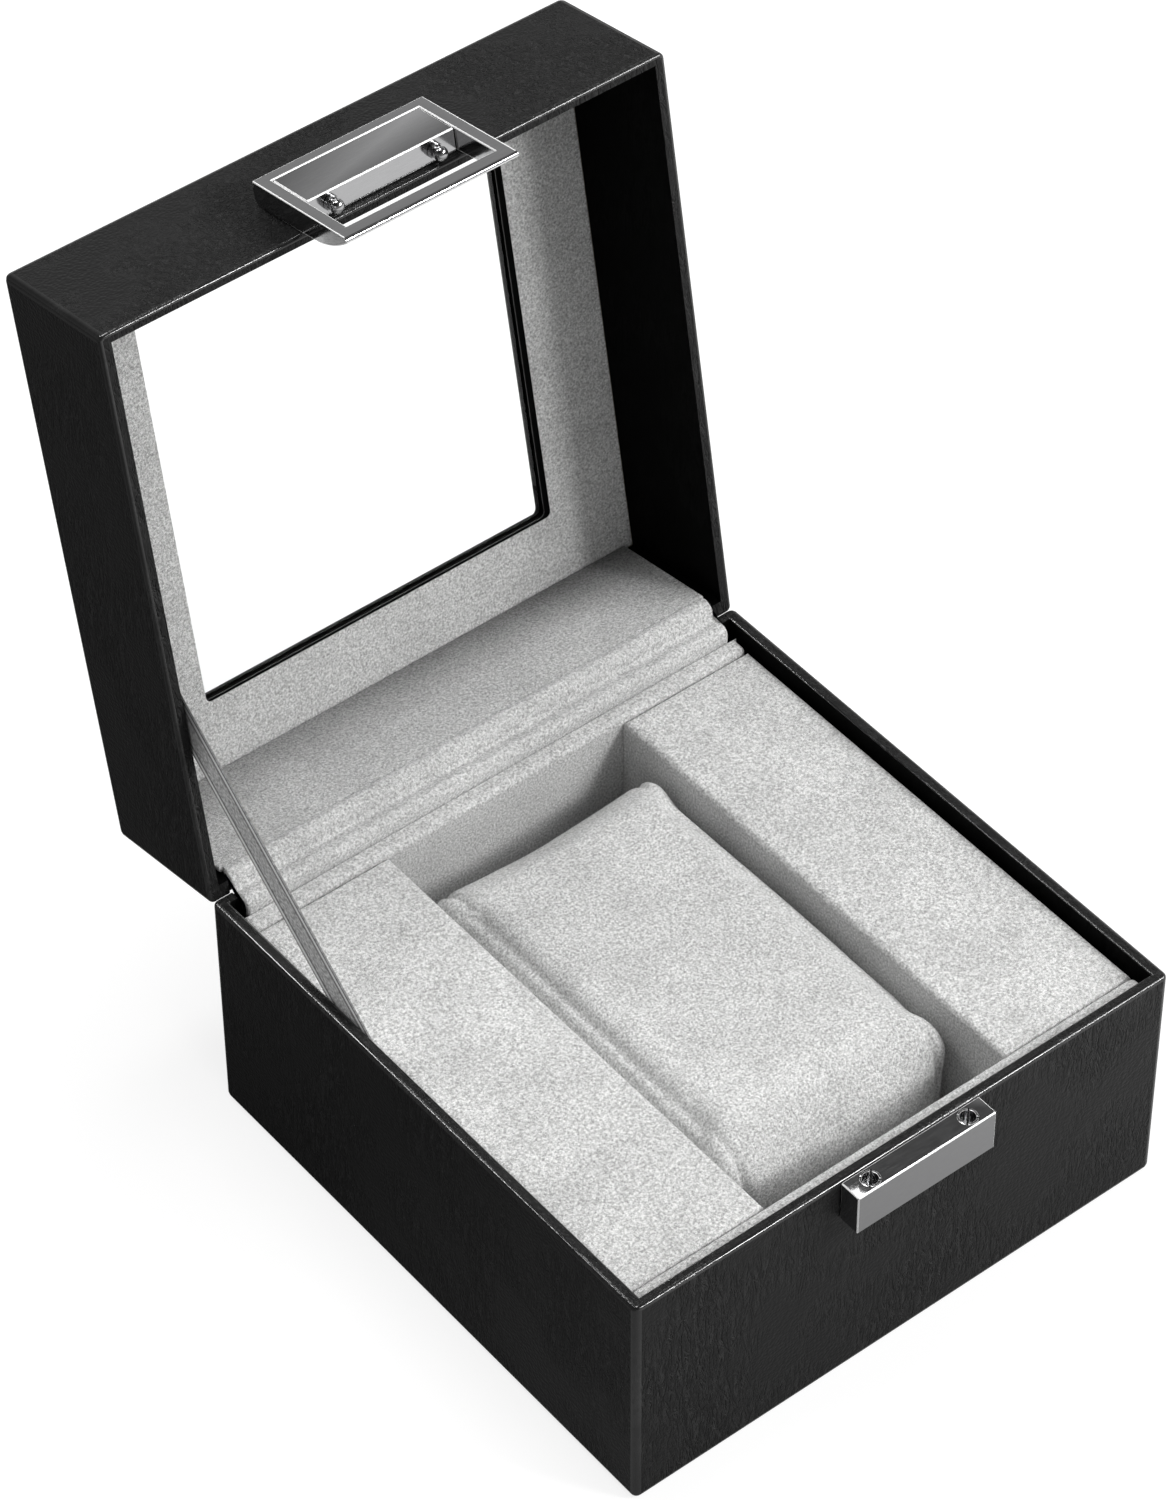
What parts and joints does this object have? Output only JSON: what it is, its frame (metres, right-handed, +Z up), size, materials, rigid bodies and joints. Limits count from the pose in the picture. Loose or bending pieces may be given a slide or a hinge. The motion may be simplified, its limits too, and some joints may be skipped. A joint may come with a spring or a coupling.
{
  "type": "watch display case",
  "caption": "Square display case for one wristwatch, black leather cloth, velvet inside with cushion, glazed hinged lid standing open, metal clasp.",
  "frame": {"origin": "middle of the underside, on the surface that the case stands on", "axes": "+X to the right along the lid's hinge, +Y from the clasp to the hinge, +Z up"},
  "size_m": [0.1006, 0.1456, 0.1481],
  "materials": {
    "leather": "black grained artificial leather, semi-gloss",
    "greyboard": "raw greyboard, hidden under the coverings",
    "velvet": "short light grey velvet",
    "foam": "soft open foam, hidden in the cushion",
    "underside_paper": "matt black paper",
    "window_glass": "clear flat glass",
    "polished_metal": "bright polished plating",
    "steel": "plain steel",
    "satin_ribbon": "woven grey satin"
  },
  "bodies": {
    "base": {"back_lining": "velvet", "base_back_board": "greyboard", "base_bottom_board": "greyboard", "base_cover": "leather", "base_front_board": "greyboard", "base_left_board": "greyboard", "base_right_board": "greyboard", "base_underside_pad": "underside_paper", "front_lining": "velvet", "hinge_leaf_base": "steel", "hinge_lining": "velvet", "hinge_pin": "steel", "hinge_screw_base_left": "steel", "hinge_screw_base_middle": "steel", "hinge_screw_base_right": "steel", "shoulder_form_left": "greyboard", "shoulder_form_right": "greyboard", "shoulder_velvet_left": "velvet", "shoulder_velvet_right": "velvet", "stay_ribbon": "satin_ribbon", "strike_block": "polished_metal", "strike_screw_left": "steel", "strike_screw_right": "steel", "strike_socket_left": "polished_metal", "strike_socket_right": "polished_metal", "well_floor": "velvet"},
    "lid": {"hasp_pin": "steel", "hinge_leaf_lid": "steel", "hinge_screw_lid_left": "steel", "hinge_screw_lid_middle": "steel", "hinge_screw_lid_right": "steel", "latch_block": "polished_metal", "latch_screw_left": "steel", "latch_screw_right": "steel", "latch_stud_left": "polished_metal", "latch_stud_right": "polished_metal", "lid_back_board": "greyboard", "lid_cover": "leather", "lid_frame_board": "greyboard", "lid_front_board": "greyboard", "lid_left_board": "greyboard", "lid_lining_back": "velvet", "lid_lining_frame": "velvet", "lid_right_board": "greyboard", "window_pane": "window_glass"},
    "hasp": {"hasp_frame": "polished_metal"},
    "pillow": {"pillow_end_left": "velvet", "pillow_end_right": "velvet", "pillow_foam": "foam", "pillow_sleeve": "velvet"}
  },
  "joints": [
    {"name": "lid_hinge", "type": "hinge", "parent": "base", "child": "lid", "pos_m": [0, 0.0502, 0.0436], "axis": [1, 0, 0], "range_deg": [0, 100], "deforming": ["stay_ribbon", "hinge_lining"]},
    {"name": "hasp_hinge", "type": "hinge", "parent": "lid", "child": "hasp", "pos_m": [0, 0.07791, 0.14198], "axis": [-1, 0, 0], "range_deg": [0, 80]},
    {"name": "pillow_lift", "type": "slide", "parent": "base", "child": "pillow", "axis": [0, 0, 1], "range_m": [0, 0.07]}
  ]
}
